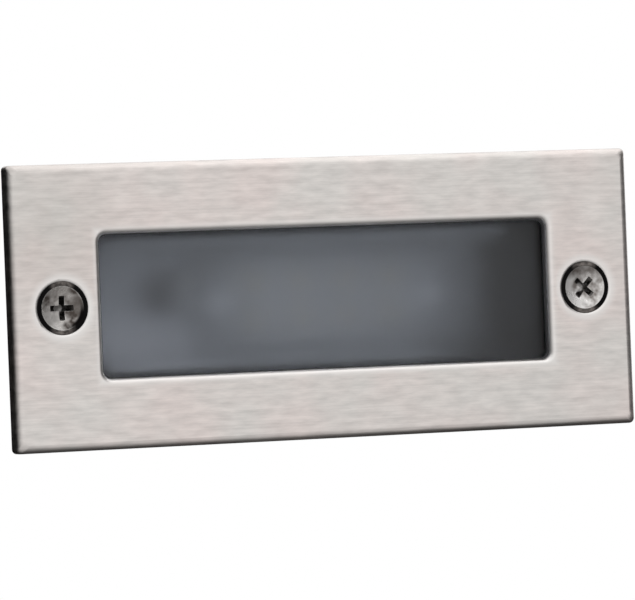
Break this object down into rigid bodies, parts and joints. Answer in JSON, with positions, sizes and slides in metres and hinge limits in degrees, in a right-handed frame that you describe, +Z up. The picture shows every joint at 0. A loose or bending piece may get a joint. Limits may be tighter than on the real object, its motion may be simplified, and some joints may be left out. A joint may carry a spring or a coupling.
{
  "type": "recessed step light",
  "caption": "Recessed wall step light: brushed steel face plate with a frosted window, lamp insert held by captive cross-recess screws in a plastic wall box with a rear cable entry.",
  "frame": {"origin": "in the plane of the wall surface, behind the middle of the face plate's window", "axes": "+X along the plate to the viewer's right, +Y into the wall, +Z up"},
  "size_m": [0.1256, 0.0604, 0.053],
  "materials": {
    "plate_steel": "brushed along its length",
    "screw_steel": "satin, turned",
    "frosted_glass": "acid-frosted",
    "box_plastic": "moulded, fine texture",
    "housing_coat": "black powder coat over a die casting",
    "reflector_coat": "pale grey coated sheet",
    "black_rubber": "matt",
    "seal_silicone": "satin",
    "nylon": "natural",
    "brass": "turned and knurled",
    "zinc_steel": "zinc plated",
    "lamp_board": "pale grey solder mask",
    "emitter": "phosphor under clear resin",
    "pad_silicone": "soft",
    "supply_plastic": "moulded",
    "circuit_board": "green solder mask",
    "transformer_tape": "taped winding",
    "capacitor_sleeve": "shrunk sleeve",
    "terminal_plastic": "natural",
    "brown_sleeve": "wire sleeve",
    "blue_sleeve": "wire sleeve",
    "earth_sleeve": "green wire sleeve with a yellow stripe",
    "white_sleeve": "wire sleeve",
    "grey_sleeve": "wire sleeve"
  },
  "bodies": {
    "wall_box": {"recess_box": "box_plastic", "threaded_inserts": "brass", "cable_grommet": "black_rubber"},
    "light_insert": {"face_plate": "plate_steel", "face_gasket": "black_rubber", "lens_glass": "frosted_glass", "lens_seal": "seal_silicone", "lamp_housing": "housing_coat", "retaining_washers": "nylon", "reflector": "reflector_coat", "led_board": "lamp_board", "led_emitters": "emitter", "thermal_pad": "pad_silicone", "board_screws": "zinc_steel", "lead_grommet": "black_rubber", "driver_case": "supply_plastic", "driver_lid": "supply_plastic", "driver_board": "circuit_board", "driver_transformer": "transformer_tape", "driver_capacitors": "capacitor_sleeve", "driver_screws": "zinc_steel", "terminal_block": "terminal_plastic", "terminal_clamps": "brass", "terminal_screws": "zinc_steel", "terminal_fixings": "zinc_steel", "earth_tag": "zinc_steel", "earth_screw": "zinc_steel", "live_lead": "brown_sleeve", "neutral_lead": "blue_sleeve", "earth_lead": "earth_sleeve", "lamp_lead_positive": "white_sleeve", "lamp_lead_negative": "grey_sleeve"},
    "left_screw_seal": {"screw_seal_left": "black_rubber"},
    "left_screw": {"screw_left": "screw_steel"},
    "right_screw_seal": {"screw_seal_right": "black_rubber"},
    "right_screw": {"screw_right": "screw_steel"}
  },
  "joints": [
    {"name": "insert_pull", "type": "slide", "parent": "wall_box", "child": "light_insert", "axis": [0, -1, 0], "range_m": [0, 0.06]},
    {"name": "left_screw_travel", "type": "slide", "parent": "light_insert", "child": "left_screw_seal", "axis": [0, -1, 0], "range_m": [0, 0.0056]},
    {"name": "left_screw_turn", "type": "hinge", "parent": "left_screw_seal", "child": "left_screw", "pos_m": [-0.053, 0, 0], "axis": [0, -1, 0], "range_deg": [0, 2881]},
    {"name": "right_screw_travel", "type": "slide", "parent": "light_insert", "child": "right_screw_seal", "axis": [0, -1, 0], "range_m": [0, 0.0056]},
    {"name": "right_screw_turn", "type": "hinge", "parent": "right_screw_seal", "child": "right_screw", "pos_m": [0.053, 0, 0], "axis": [0, -1, 0], "range_deg": [0, 2881]}
  ],
  "couplings": [
    {"joint": "left_screw_turn", "follows": "left_screw_travel", "rad_per_m": 8976},
    {"joint": "right_screw_turn", "follows": "right_screw_travel", "rad_per_m": 8976}
  ]
}
